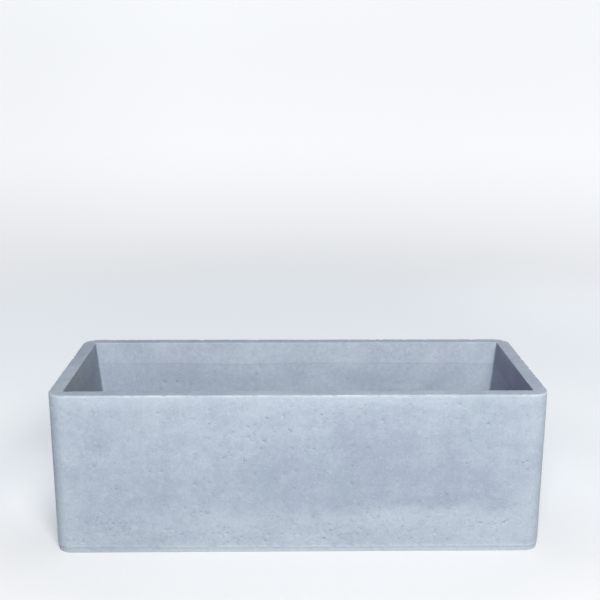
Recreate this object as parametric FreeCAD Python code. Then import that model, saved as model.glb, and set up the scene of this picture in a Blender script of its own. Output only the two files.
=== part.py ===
"""Long planter trough in cast fibre-reinforced concrete.

A one-piece casting (walls, rim and floor) with flanged drain sleeves cast
into the floor, a rubber plug in each sleeve and thin rubber pads let into the
underside. Millimetres. +X along the length, +Y towards the back, +Z up. The
origin is the centre of the footprint, on the plane the pads stand on.
"""
import FreeCAD, Part
import math
import os

V = FreeCAD.Vector

# ---- casting ---------------------------------------------------------------
LENGTH = 1000.0          # outside, along X
WIDTH = 390.0            # outside, along Y
SHELL_HEIGHT = 341.0     # underside of the casting to the top of the rim
CORNER_R = 33.0          # outer vertical corners, in plan
RIM_ENDS = 29.0          # rim width across the two end walls
RIM_SIDES = 28.0         # rim width across the two long walls
INNER_TAPER = 0.12       # how far the inner faces lean in, per mm of depth
INNER_CORNER_R = 4.0     # inner vertical corners, in plan
FLOOR = 36.0             # thickness of the floor
FLOOR_FILLET = 12.0      # radius where the inner walls meet the floor
BEVEL_H = 13.0           # low band along the foot of the outer walls: height
BEVEL_D = 2.0            # and how far it has drawn in at the underside
ARRIS_OUT = 2.5          # eased edge round the outside of the rim
ARRIS_IN = 1.6           # eased edge round the inside of the rim

# ---- drains ----------------------------------------------------------------
DRAIN_X = {"left": -300.0, "centre": 0.0, "right": 300.0}
SLEEVE_R = 16.0          # outside of the tube stub
SLEEVE_BORE_R = 13.6     # its bore
FLANGE_R = 24.0          # collar at the upper end, flush with the floor
FLANGE_T = 3.0
FLANGE_SOFT = 0.8        # eased upper edge of the bore

# ---- drain plugs -----------------------------------------------------------
PLUG_GAP = 0.1           # between the plug's head and the sleeve's collar
PLUG_HEAD_R = 19.0
PLUG_HEAD_T = 4.0
PLUG_STEM_R = 13.0       # stem between the sealing rings
PLUG_RING_R = 13.55      # two sealing rings, 0.05 clear of the bore
PLUG_RING_H = 3.0
PLUG_STEM_L = 24.0
PLUG_TIP_R = 11.6
KNOB_NECK_R = 5.0
KNOB_R = 8.5
KNOB_NECK_H = 6.0
KNOB_H = 8.0

# ---- base pads -------------------------------------------------------------
PAD_R = 22.0
PAD_T = 4.0
PAD_PROUD = 1.0          # how far a pad stands below the casting
PAD_CHAMFER = 0.5
PAD_X = 400.0            # from the centre of the footprint
PAD_Y = 130.0

BASE_Z = PAD_PROUD                       # underside of the casting
RIM_Z = BASE_Z + SHELL_HEIGHT            # top of the rim
FLOOR_Z = BASE_Z + FLOOR                 # upper face of the floor


def plan(hx, hy, r, z):
    """Closed wire: a rectangle 2hx by 2hy with corner radius r, at height z."""
    k = r * (1.0 - math.sqrt(0.5))
    p = [V(hx, -hy + r, z), V(hx, hy - r, z), V(hx - r, hy, z),
         V(-hx + r, hy, z), V(-hx, hy - r, z), V(-hx, -hy + r, z),
         V(-hx + r, -hy, z), V(hx - r, -hy, z)]
    m = [V(hx - k, hy - k, z), V(-hx + k, hy - k, z),
         V(-hx + k, -hy + k, z), V(hx - k, -hy + k, z)]
    e = []
    for i in range(4):
        e.append(Part.LineSegment(p[2 * i], p[2 * i + 1]).toShape())
        e.append(Part.Arc(p[2 * i + 1], m[i], p[(2 * i + 2) % 8]).toShape())
    return Part.Wire(e)


def level_edges(shape, z, inside_x, inside_y, want_inside):
    """Edges lying wholly at height z, on the cavity side or the outer side."""
    found = []
    for e in shape.Edges:
        b = e.BoundBox
        if abs(b.ZMin - z) > 1e-4 or abs(b.ZMax - z) > 1e-4:
            continue
        c = e.CenterOfMass
        inside = abs(c.x) < inside_x and abs(c.y) < inside_y
        if inside == want_inside:
            found.append(e)
    return found


def turned(profile, x=0.0, y=0.0):
    """Solid of revolution about a vertical line through (x, y); the profile is
    a closed list of (radius, height)."""
    pts = [V(r, 0, z) for r, z in profile]
    wire = Part.makePolygon(pts + [pts[0]])
    solid = Part.Face(wire).revolve(V(0, 0, 0), V(0, 0, 1), 360)
    if not isinstance(solid, Part.Solid):
        solid = Part.Solid(solid.Shells[0]) if solid.Shells else solid
    solid.translate(V(x, y, 0))
    return solid


def make_shell():
    hx, hy = LENGTH / 2.0, WIDTH / 2.0
    upper = Part.Face(plan(hx, hy, CORNER_R, BASE_Z + BEVEL_H)).extrude(
        V(0, 0, SHELL_HEIGHT - BEVEL_H))
    foot = Part.makeLoft([plan(hx - BEVEL_D, hy - BEVEL_D, CORNER_R - BEVEL_D, BASE_Z),
                          plan(hx, hy, CORNER_R, BASE_Z + BEVEL_H)], True, True)
    body = upper.fuse(foot)

    # cavity: a straight taper from just above the rim to the floor
    over = 5.0
    depth = SHELL_HEIGHT - FLOOR
    ix, iy = hx - RIM_ENDS, hy - RIM_SIDES
    top = plan(ix + INNER_TAPER * over, iy + INNER_TAPER * over, INNER_CORNER_R, RIM_Z + over)
    bottom = plan(ix - INNER_TAPER * depth, iy - INNER_TAPER * depth, INNER_CORNER_R, FLOOR_Z)
    cavity = Part.makeLoft([top, bottom], True, True)
    cavity = cavity.makeFillet(FLOOR_FILLET if FLOOR_FILLET <= INNER_CORNER_R else INNER_CORNER_R * 0.98,
                               level_edges(cavity, FLOOR_Z, 1e6, 1e6, True))
    body = body.cut(cavity)

    # seats of the drain sleeves
    for x in DRAIN_X.values():
        body = body.cut(Part.makeCylinder(SLEEVE_R, FLOOR + 20, V(x, 0, BASE_Z - 10)))
        body = body.cut(Part.makeCylinder(FLANGE_R, FLANGE_T + 5, V(x, 0, FLOOR_Z - FLANGE_T)))
    # pockets of the base pads
    for sx in (-1, 1):
        for sy in (-1, 1):
            body = body.cut(Part.makeCylinder(PAD_R, PAD_T - PAD_PROUD + 5,
                                              V(sx * PAD_X, sy * PAD_Y, BASE_Z - 5)))
    # eased edges of the rim
    outer = level_edges(body, RIM_Z, hx - RIM_ENDS / 2.0, hy - RIM_SIDES / 2.0, False)
    body = body.makeFillet(ARRIS_OUT, outer)
    inner = level_edges(body, RIM_Z, hx - RIM_ENDS / 2.0, hy - RIM_SIDES / 2.0, True)
    body = body.makeFillet(ARRIS_IN, inner)
    return body.removeSplitter()


def make_sleeve(x):
    z0, z1 = BASE_Z, FLOOR_Z
    c = FLANGE_SOFT
    return turned([(SLEEVE_BORE_R, z0), (SLEEVE_R, z0), (SLEEVE_R, z1 - FLANGE_T),
                   (FLANGE_R, z1 - FLANGE_T), (FLANGE_R, z1), (SLEEVE_BORE_R + c, z1),
                   (SLEEVE_BORE_R, z1 - c)], x)


def make_plug(x):
    z = FLOOR_Z + PLUG_GAP                      # underside of the head
    t = z + PLUG_HEAD_T
    k = t + KNOB_NECK_H
    a = PLUG_RING_H
    prof = [(0.0, z - PLUG_STEM_L), (PLUG_TIP_R - 1.2, z - PLUG_STEM_L),
            (PLUG_TIP_R, z - PLUG_STEM_L + 1.2),
            (PLUG_STEM_R, z - PLUG_STEM_L + 7.0),
            (PLUG_RING_R, z - 15.0), (PLUG_RING_R, z - 15.0 + a),
            (PLUG_STEM_R, z - 15.0 + a + 1.5),
            (PLUG_STEM_R, z - 7.0),
            (PLUG_RING_R, z - 5.5), (PLUG_RING_R, z - 5.5 + a),
            (PLUG_STEM_R, z - 1.2), (PLUG_STEM_R, z),
            (PLUG_HEAD_R - 0.8, z), (PLUG_HEAD_R, z + 0.8),
            (PLUG_HEAD_R, t - 1.6), (PLUG_HEAD_R - 1.6, t),
            (KNOB_NECK_R + 1.5, t + 0.6), (KNOB_NECK_R, t + 2.0),
            (KNOB_NECK_R, k - 1.0), (KNOB_R - 1.0, k), (KNOB_R, k + 1.6),
            (KNOB_R, k + KNOB_H - 4.0), (KNOB_R - 1.6, k + KNOB_H - 1.4),
            (KNOB_R - 4.0, k + KNOB_H - 0.2), (0.0, k + KNOB_H)]
    return turned(prof, x)


def make_pad(x, y):
    c = PAD_CHAMFER
    return turned([(0.0, 0.0), (PAD_R - c, 0.0), (PAD_R, c), (PAD_R, PAD_T), (0.0, PAD_T)], x, y)


def main():
    os.makedirs("parts", exist_ok=True)
    nodes = {"planter_shell": make_shell()}
    for name, x in DRAIN_X.items():
        nodes["drain_sleeve_" + name] = make_sleeve(x)
        nodes["drain_plug_" + name] = make_plug(x)
    for yname, sy in (("front", -1), ("back", 1)):
        for xname, sx in (("left", -1), ("right", 1)):
            nodes["base_pad_%s_%s" % (yname, xname)] = make_pad(sx * PAD_X, sy * PAD_Y)
    for name, shape in nodes.items():
        b = shape.BoundBox
        print("%-22s solids %d valid %s volume %.1f cm3  x %.2f..%.2f y %.2f..%.2f z %.2f..%.2f" % (
            name, len(shape.Solids), shape.isValid(), shape.Volume / 1000.0,
            b.XMin, b.XMax, b.YMin, b.YMax, b.ZMin, b.ZMax))
        shape.exportStep("parts/%s.step" % name)


main()
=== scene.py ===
import math

import bpy
import numpy as np
from mathutils import Matrix, Vector, kdtree
from mathutils.geometry import delaunay_2d_cdt


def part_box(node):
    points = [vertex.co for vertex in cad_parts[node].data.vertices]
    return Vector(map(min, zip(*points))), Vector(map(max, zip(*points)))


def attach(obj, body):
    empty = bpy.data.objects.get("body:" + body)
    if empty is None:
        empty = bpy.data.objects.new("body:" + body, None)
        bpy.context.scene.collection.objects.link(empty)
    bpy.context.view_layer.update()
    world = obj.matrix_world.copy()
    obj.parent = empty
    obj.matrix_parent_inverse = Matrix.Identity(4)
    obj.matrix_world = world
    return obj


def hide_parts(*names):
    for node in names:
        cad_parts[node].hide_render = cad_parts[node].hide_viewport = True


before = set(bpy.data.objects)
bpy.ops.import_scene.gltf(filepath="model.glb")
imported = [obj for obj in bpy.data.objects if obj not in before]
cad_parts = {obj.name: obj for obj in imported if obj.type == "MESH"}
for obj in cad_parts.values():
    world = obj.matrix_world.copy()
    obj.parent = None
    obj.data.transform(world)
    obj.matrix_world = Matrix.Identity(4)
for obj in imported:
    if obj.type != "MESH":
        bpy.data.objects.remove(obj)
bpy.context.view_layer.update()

# ---------------------------------------------------------------- frame sizes
slo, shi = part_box("planter_shell")
HX, HY = shi.x * 1000.0, shi.y * 1000.0          # half length and half width
Z0, Z1 = slo.z * 1000.0, shi.z * 1000.0          # underside and rim
CORNER_R = 33.0
RIM_ENDS, RIM_SIDES = 29.0, 28.0
TAPER = 0.12
INNER_R = 4.0
FLOOR_Z = Z0 + 36.0
BAND_H, BAND_D = 13.0, 2.0
ARRIS_OUT, ARRIS_IN = 2.5, 1.6
FILLET = 3.9
LINE_DEPTH = 50.0                                # the line round the inside
SLEEVES = {n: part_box("drain_sleeve_" + n) for n in ("left", "centre", "right")}
PADS = {n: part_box("base_pad_" + n)
        for n in ("front_left", "front_right", "back_left", "back_right")}


def node_centre(b):
    return ((b[0].x + b[1].x) * 500.0, (b[0].y + b[1].y) * 500.0)


# ------------------------------------------------------------- plan and profile
SX, SY = 2 * (HX - CORNER_R), 2 * (HY - CORNER_R)     # straight runs
ARC = math.pi / 2 * CORNER_R
# the perimeter, from the middle of the back, seen from above anticlockwise
RUNS = [SX / 2, ARC, SY, ARC, SX, ARC, SY, ARC, SX / 2]
EDGE = np.concatenate([[0.0], np.cumsum(RUNS)])
PERIM = EDGE[-1]
# start and end of each side's straight run
BACK_L, LEFT, FRONT, RIGHT, BACK_R = ((EDGE[0], EDGE[1]), (EDGE[2], EDGE[3]),
                                      (EDGE[4], EDGE[5]), (EDGE[6], EDGE[7]), (EDGE[8], EDGE[9]))


def plan(u, ix, iy, r):
    """Point and outward direction at u on the rounded rectangle drawn in by ix, iy."""
    u = np.asarray(u, float) % PERIM
    hx, hy = HX - ix, HY - iy
    x, y = np.zeros_like(u), np.zeros_like(u)
    nx, ny = np.zeros_like(u), np.zeros_like(u)
    k = np.clip(np.searchsorted(EDGE, u, side="right") - 1, 0, 8)
    t = (u - EDGE[k]) / np.array(RUNS)[k]
    cx, cy = hx - r, hy - r
    # straight runs
    for i, (ax, ay, bx, by, ox, oy) in {
        0: (0 * hx, hy, -cx, hy, 0, 1), 2: (-hx, cy, -hx, -cy, -1, 0),
        4: (-cx, -hy, cx, -hy, 0, -1), 6: (hx, -cy, hx, cy, 1, 0),
        8: (cx, hy, 0 * hx, hy, 0, 1)}.items():
        m = k == i
        x = np.where(m, ax + (bx - ax) * t, x)
        y = np.where(m, ay + (by - ay) * t, y)
        nx = np.where(m, ox, nx)
        ny = np.where(m, oy, ny)
    for i, (sx, sy, a0) in {1: (-1, 1, 90), 3: (-1, -1, 180), 5: (1, -1, 270), 7: (1, 1, 0)}.items():
        m = k == i
        a = np.radians(a0) + t * math.pi / 2
        x = np.where(m, sx * cx + r * np.cos(a), x)
        y = np.where(m, sy * cy + r * np.sin(a), y)
        nx = np.where(m, np.cos(a), nx)
        ny = np.where(m, np.sin(a), ny)
    return x, y, nx, ny


def make_profile():
    """Samples of the wall's section from the outer foot over the rim to the floor:
    rows of inset at the ends, inset at the sides, plan radius, height."""
    rows = [(BAND_D, BAND_D, CORNER_R - BAND_D, Z0),
            (0.0, 0.0, CORNER_R, Z0 + BAND_H),
            (0.0, 0.0, CORNER_R, Z1 - ARRIS_OUT)]
    keys = {"band": 1, "arris0": 2}
    for i in range(1, 7):
        a = i / 6 * math.pi / 2
        d = ARRIS_OUT * (1 - math.cos(a))
        rows.append((d, d, CORNER_R - d, Z1 - ARRIS_OUT + ARRIS_OUT * math.sin(a)))
    keys["arris1"] = len(rows) - 1
    b = math.atan(TAPER)
    turn = math.pi / 2 - b
    back = ARRIS_IN * math.tan(turn / 2)
    rows.append((RIM_ENDS - back, RIM_SIDES - back, INNER_R + back, Z1))
    keys["in0"] = len(rows) - 1
    for i in range(1, 5):
        a = i / 4 * turn
        d = back - ARRIS_IN * math.sin(a)
        rows.append((RIM_ENDS - d, RIM_SIDES - d, INNER_R + max(d, 0.0),
                     Z1 - ARRIS_IN * (1 - math.cos(a))))
    keys["in1"] = len(rows) - 1
    depth = Z1 - FLOOR_Z
    back = FILLET * math.tan(turn / 2)
    d1 = depth - back * math.cos(b)
    rows.append((RIM_ENDS + TAPER * d1, RIM_SIDES + TAPER * d1, INNER_R, Z1 - d1))
    keys["fil0"] = len(rows) - 1
    for i in range(1, 6):
        a = i / 5 * turn
        # circle tangent to the wall at d1 and to the floor
        g = TAPER * d1 + FILLET * (math.cos(b) - math.cos(b + a))
        z = FLOOR_Z + FILLET * (1 - math.sin(b + a))
        rows.append((RIM_ENDS + g, RIM_SIDES + g, max(INNER_R - 0.6 * i / 5 * INNER_R, 0.8), z))
    p = np.array(rows)
    s = np.concatenate([[0], np.cumsum(np.hypot(np.diff(p[:, 1]), np.diff(p[:, 3])))])
    # outward direction of the section in (out, up)
    t = np.zeros((len(p), 2))
    seg = np.stack([-np.diff(p[:, 1]), np.diff(p[:, 3])], 1)
    seg /= np.linalg.norm(seg, axis=1)[:, None]
    t[1:-1] = seg[:-1] + seg[1:]
    t[0], t[-1] = seg[0], seg[-1]
    # right-hand side of the direction of travel: up the outside, out is to the right
    n = np.stack([t[:, 1], -t[:, 0]], 1)
    n /= np.linalg.norm(n, axis=1)[:, None]
    return p, s, n, {k: s[i] for k, i in keys.items()}


PROF, PS, PN, KEY = make_profile()
S_END = PS[-1]
S_LINE = KEY["in1"] + (LINE_DEPTH - ARRIS_IN) / math.cos(math.atan(TAPER))


def section(s):
    ix, iy, r, z = (np.interp(s, PS, PROF[:, i]) for i in range(4))
    # on straight stretches the section's direction is constant, so it is read
    # from the stretch rather than blended across it
    k = np.clip(np.searchsorted(PS, s, side="right") - 1, 0, len(PS) - 2)
    long = (PS[k + 1] - PS[k]) > 5.0
    d = np.stack([-(PROF[k + 1, 1] - PROF[k, 1]), PROF[k + 1, 3] - PROF[k, 3]], 1)
    d /= np.linalg.norm(d, axis=1)[:, None]
    no = np.where(long, d[:, 1], np.interp(s, PS, PN[:, 0]))
    nz = np.where(long, -d[:, 0], np.interp(s, PS, PN[:, 1]))
    ln = np.hypot(no, nz)
    return ix, iy, r, z, no / ln, nz / ln


def z_of(s):
    return np.interp(s, PS, PROF[:, 3])


def s_of_outer(z):
    """Section position of height z on the outer wall."""
    return KEY["band"] + (z - Z0 - BAND_H)


def s_of_inner(depth):
    return KEY["in1"] + (depth - ARRIS_IN) / math.cos(math.atan(TAPER))


def u_front(x):
    return FRONT[0] + (x + SX / 2)


# ------------------------------------------------------------------ smooth noise
def lattice(seed, nu, ns):
    return np.random.default_rng(seed).uniform(-1, 1, (nu, ns))


def wave(u, s, size, seed):
    """Smooth noise over the unrolled wall, repeating round the perimeter."""
    nu = max(3, int(round(PERIM / size)))
    ns = int(S_END / size) + 4
    g = lattice(seed, nu, ns)
    a, b = u / PERIM * nu, s / size + 1
    i, j = np.floor(a).astype(int), np.clip(np.floor(b).astype(int), 0, ns - 2)
    fa, fb = a - np.floor(a), b - np.floor(b)
    fa, fb = fa * fa * (3 - 2 * fa), fb * fb * (3 - 2 * fb)
    i0, i1 = i % nu, (i + 1) % nu
    return ((g[i0, j] * (1 - fa) + g[i1, j] * fa) * (1 - fb)
            + (g[i0, j + 1] * (1 - fa) + g[i1, j + 1] * fa) * fb)


def bump(u, s, u0, s0, ru, rs):
    """1 at a place, falling smoothly to 0 at ru along and rs across."""
    du = (u - u0 + PERIM / 2) % PERIM - PERIM / 2
    q = (du / ru) ** 2 + ((s - s0) / rs) ** 2
    return np.exp(-q * 1.6)


def smooth(x, a, b):
    t = np.clip((x - a) / (b - a), 0, 1)
    return t * t * (3 - 2 * t)


# ------------------------------------------------------------------------ chips
def make_chips():
    """Small breaks along the arrises: place, half length, half reach, depth."""
    out = []
    g = np.random.default_rng(41)

    def scatter(s0, n, wmax, amax, dmax):
        for _ in range(n):
            k = g.uniform() ** 2.2
            out.append((g.uniform(4, PERIM - 4), s0 + g.normal(0, 0.8),
                        1.8 + k * wmax, 1.2 + k * amax, 0.25 + k * dmax))

    mid = (KEY["arris0"] + KEY["arris1"]) / 2
    scatter(mid, 150, 5.0, 2.0, 1.0)
    scatter((KEY["in0"] + KEY["in1"]) / 2, 90, 4.0, 1.6, 0.8)
    scatter(KEY["band"], 110, 6.0, 2.2, 0.8)
    # the ones that stand out along the front
    for x, w, a, d in ((-18, 5, 2.6, 1.3), (15, 7, 3.0, 1.5), (140, 6, 2.4, 1.2),
                       (196, 4, 2.4, 1.3), (312, 6, 2.6, 1.3), (-330, 5, 2.2, 1.0),
                       (-205, 4, 2.2, 0.9), (402, 4, 2.0, 0.9)):
        out.append((u_front(x), mid, w, a, d))
    inner = (KEY["in0"] + KEY["in1"]) / 2
    for y, w, a, d in ((96, 5, 2.2, 1.3), (62, 7, 2.6, 1.5), (31, 4, 2.0, 1.1), (-8, 6, 2.4, 1.4), (-70, 5, 2.0, 1.0)):
        out.append((RIGHT[0] + y + SY / 2, inner, w, a, d))
    for x, w, a, d in ((72, 6, 3.0, 1.2), (108, 5, 2.8, 1.2), (250, 4, 2.2, 0.8),
                       (-60, 5, 2.0, 0.8), (-180, 5, 2.2, 0.8)):
        out.append((u_front(x), KEY["band"], w, a, d))
    return np.array(out)


CHIPS = make_chips()


def chip_depth(u, s):
    d = np.zeros_like(u)
    order = np.argsort(u)
    us = u[order]
    for cu, cs, w, a, dep in CHIPS:
        lo, hi = np.searchsorted(us, [cu - w * 1.2, cu + w * 1.2])
        k = order[lo:hi]
        q = ((u[k] - cu) / w) ** 2 + ((s[k] - cs) / (a + 1.5)) ** 2
        d[k] = np.maximum(d[k], dep * np.sqrt(np.clip(1 - q, 0, 1)))
    return d


def relief(u, s):
    """How far the surface lies inside the true form, in mm: slow hand-finished
    waviness, the worn arrises, the line round the inside."""
    d = 0.30 + 0.16 * wave(u, s, 150, 1) + 0.10 * wave(u, s, 62, 2) + 0.045 * wave(u, s, 26, 3)
    # the wall fades to its true line at the arris of the low band
    d *= 1.0 - 0.85 * np.exp(-((s - KEY["band"]) / 1.6) ** 2)
    # arrises: the eased edge varies along its length
    for k0, k1, amp in ((KEY["arris0"], KEY["arris1"], 0.5), (KEY["in0"], KEY["in1"], 0.32)):
        m = (k0 + k1) / 2
        near = np.exp(-((s - m) / (0.9 * (k1 - k0))) ** 2)
        w = 0.5 + 0.5 * wave(u, s * 0 + m, 21, 5) + 0.35 * wave(u, s * 0 + m, 8, 6)
        d += near * amp * np.clip(w, 0, 1.4)
    # the line round the inside: the surface sets back a little below it
    wob = 0.9 * wave(u, s * 0, 90, 7) + 0.4 * wave(u, s * 0, 24, 8)
    d += 0.32 * smooth(s + wob, S_LINE - 0.7, S_LINE + 0.7) * smooth(s, S_LINE + 130, S_LINE + 30)
    d += chip_depth(u, s)
    # the boundary rows stay where the floor and underside meet them
    return np.clip(d, 0.02, None) * smooth(s, 0.0, 2.0) * smooth(s, S_END, S_END - 2.0)


# ------------------------------------------------------------------------- pits
def on_corner(u, pad):
    m = np.zeros_like(u, bool)
    for i in (1, 3, 5, 7):
        m |= (u > EDGE[i] - pad) & (u < EDGE[i + 1] + pad)
    return m


# places on the front where bubbles gather: x, height, half width, half height, share
CLUSTERS = ((-457, 22, 30, 16, 0.40), (-365, 60, 48, 16, 0.40), (-230, 42, 36, 24, 0.45),
            (-139, 38, 40, 24, 0.50), (-54, 84, 34, 24, 0.40), (-166, 140, 38, 18, 0.30),
            (-190, 214, 60, 22, 0.35), (-166, 316, 44, 16, 0.40), (-60, 262, 60, 34, 0.45),
            (55, 45, 48, 36, 0.65), (160, 70, 42, 26, 0.55), (235, 40, 60, 20, 0.45),
            (390, 60, 62, 24, 0.45), (73, 302, 80, 20, 0.40), (62, 228, 70, 20, 0.40),
            (378, 289, 50, 34, 0.35))


def open_skin(u, s):
    """How open the skin is: 0 dense, 1 where small bubbles crowd."""
    z = z_of(s)
    out = s < KEY["arris0"]
    d = 0.30 * smooth(wave(u, s, 38, 13), 0.1, 0.8) * (0.35 + 0.65 * smooth(z, 110, 50))
    d += 0.34 * smooth(z, 95, 45)
    for x, z0, rx, rz, k in CLUSTERS:
        d += 1.5 * k * bump(u, s, u_front(x), s_of_outer(z0), rx, rz)
    side = (u < FRONT[0] - 20) | (u > FRONT[1] + 20)
    d += 0.5 * side * smooth(wave(u, s, 55, 14), 0.25, 0.8)
    return np.where(out, np.clip(d, 0, 1), 0.25 * smooth(wave(u, s, 38, 13), 0.1, 0.8))


def pit_density(u, s):
    """Share of trial pits kept, over the unrolled wall."""
    z = z_of(s)
    out = s < KEY["arris0"]
    rim = (s > KEY["arris1"]) & (s < KEY["in0"])
    inn = s > KEY["in1"]
    patch = 0.5 + 0.5 * wave(u, s, 70, 11)
    fine = 0.5 + 0.5 * wave(u, s, 24, 12)
    base = 0.16 + 0.42 * smooth(patch * 0.6 + fine * 0.4, 0.42, 0.85)
    low = smooth(z, 120, 40)
    high = smooth(z, 240, 325)
    d = np.where(out, base * (0.42 + 0.95 * low + 0.55 * high), 0)
    for x, z0, rx, rz, k in CLUSTERS:
        d += k * bump(u, s, u_front(x), s_of_outer(z0), rx, rz) * out
    d = np.where(rim, 0.12 + 0.2 * patch, d)
    d = np.where(inn, (0.05 + 0.20 * smooth(fine, 0.4, 0.9)) * smooth(s, S_END - 10, S_END - 60), d)
    return d


def make_pits():
    g = np.random.default_rng(77)
    n = 17500
    u = g.uniform(6, PERIM - 6, n)
    s = g.uniform(4, S_END - 12, n)
    keep = g.uniform(size=n) < pit_density(u, s)
    r = 0.55 + g.exponential(0.25, n)
    r = np.clip(r, 0.55, 2.2)
    r[s > KEY["arris1"]] = np.clip(r[s > KEY["arris1"]], 0, 1.7)
    # clear of the key lines and of the tight inner corners
    for k in (KEY["band"], KEY["arris0"], KEY["arris1"], KEY["in0"], KEY["in1"], S_LINE):
        keep &= np.abs(s - k) > r * 2.0 + 3.2
    keep &= ~((s > KEY["arris0"] - 2) & on_corner(u, 12.0))
    u, s, r = u[keep], s[keep], r[keep]
    # bubbles gather: some sites have smaller ones close by, part merged
    near_u, near_s, near_r = [], [], []
    for i in range(len(u)):
        if g.uniform() < 0.34:
            a = g.uniform(0, 2 * math.pi)
            for _ in range(int(g.integers(1, 4))):
                a += g.uniform(0.5, 2.2)
                q = r[i] * g.uniform(0.5, 0.9)
                dd = (r[i] + q) * g.uniform(0.95, 2.4)
                near_u.append(u[i] + dd * math.cos(a) * 1.3)
                near_s.append(s[i] + dd * math.sin(a))
                near_r.append(max(q, 0.5))
    u = np.concatenate([u, near_u])
    s = np.concatenate([s, near_s])
    r = np.concatenate([r, near_r])
    # a few listed ones that stand out on the front
    hand = [(-64, 293, 2.4), (-95, 246, 2.0), (-150, 209, 2.2), (-378, 66, 2.2), (-316, 70, 2.0),
            (-145, 44, 2.4), (-152, 56, 1.9), (52, 30, 3.0), (62, 62, 2.4), (45, 300, 2.0),
            (30, 228, 1.8), (-10, 142, 2.0), (247, 305, 1.7), (372, 64, 2.7), (301, 126, 1.9),
            (230, 30, 2.2), (212, 56, 2.1), (452, 196, 1.7), (120, 40, 2.4), (400, 60, 1.8)]
    u = np.concatenate([[u_front(h[0]) for h in hand], u])
    s = np.concatenate([[s_of_outer(h[1]) for h in hand], s])
    r = np.concatenate([[h[2] * 0.86 for h in hand], r])
    # no two overlap
    order = np.concatenate([np.arange(len(hand)), len(hand) + np.argsort(-r[len(hand):])])
    tree = kdtree.KDTree(len(u))
    for i in range(len(u)):
        tree.insert((u[i], s[i], 0), i)
    tree.balance()
    rank = np.empty(len(u), int)
    rank[order] = np.arange(len(u))
    dead = np.zeros(len(u), bool)
    stretch = 1.0 + np.where(g.uniform(size=len(u)) < 0.35, g.uniform(0.3, 1.2, len(u)), g.uniform(0, 0.3, len(u)))
    for i in order:
        if dead[i]:
            continue
        for co, j, dist in tree.find_range((u[i], s[i], 0), 14.0):
            if j != i and not dead[j] and rank[j] > rank[i] and \
                    dist < 0.80 * (r[i] * stretch[i] + r[j] * stretch[j]) + 0.2:
                dead[j] = True
    k = ~dead
    m = k.sum()
    return (u[k], s[k], r[k], stretch[k], g.uniform(-0.7, 0.7, m) + np.where(g.uniform(size=m) < 0.2, 1.2, 0),
            g.uniform(0.75, 1.25, m))


PIT_U, PIT_S, PIT_R, PIT_E, PIT_A, PIT_K = make_pits()


def pit_points():
    """Ring points of every pit in (u, s), with their depth and pit share."""
    g = np.random.default_rng(91)
    P, D, W, OWN, DEP = [], [], [], [], []
    for own, (u, s, r, e, a, k) in enumerate(zip(PIT_U, PIT_S, PIT_R, PIT_E, PIT_A, PIT_K)):
        n, rings = (10, ((1.22, 0.0, 0.0), (0.98, 0.10, 0.35), (0.80, 0.62, 0.8), (0.42, 0.97, 1.0))) \
            if r > 1.2 else (6, ((1.20, 0.0, 0.0), (0.80, 0.45, 0.75)))
        dep = min(r * k * (0.90 if r < 1.4 else 0.72), 1.9)
        rag = 1 + g.uniform(-0.16, 0.16, n)
        th = np.arange(n) / n * 2 * math.pi + g.uniform(0, 1)
        ca, sa = math.cos(a), math.sin(a)
        for f, dd, w in rings:
            q = f * r * (rag if f < 1.1 else 0.5 + 0.5 * rag)
            x, y = q * e * np.cos(th), q * np.sin(th)
            P.append(np.stack([u + x * ca - y * sa, s + x * sa + y * ca], 1))
            D.append(np.full(n, dd * dep) * g.uniform(0.85, 1.1, n))
            W.append(np.full(n, w))
        P.append([[u, s]])
        D.append([dep * g.uniform(0.9, 1.1)])
        W.append([1.0])
        OWN += [own] * (n * len(rings) + 1)
        DEP.append(dep)
    P, D, W = np.concatenate(P), np.concatenate(D), np.concatenate(W)
    # where two pits run together a point takes the deeper one
    tree = kdtree.KDTree(len(PIT_U))
    for i in range(len(PIT_U)):
        tree.insert((PIT_U[i], PIT_S[i], 0), i)
    tree.balance()
    for i in range(len(P)):
        for co, j, dist in tree.find_range((P[i, 0], P[i, 1], 0), 5.5):
            if j == OWN[i]:
                continue
            du, ds = P[i, 0] - PIT_U[j], P[i, 1] - PIT_S[j]
            ca, sa = math.cos(PIT_A[j]), math.sin(PIT_A[j])
            q = math.hypot((du * ca + ds * sa) / PIT_E[j], -du * sa + ds * ca) / PIT_R[j]
            if q < 1.0:
                D[i] = max(D[i], DEP[j] * (1 - q * q) ** 0.6)
                W[i] = max(W[i], 1 - q * q)
    return P, D, W


# ------------------------------------------------------------- the unrolled wall
def spaced(lo, hi, step):
    n = max(1, int(round((hi - lo) / step)))
    return lo + (hi - lo) * np.arange(n) / n


def columns(step, corner_n):
    """Column places round the perimeter, starting each run exactly."""
    out = []
    for i, ln in enumerate(RUNS):
        n = corner_n if i % 2 else max(1, int(round(ln / step)))
        out.append(EDGE[i] + ln * np.arange(n) / n)
    return np.concatenate(out)


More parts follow.
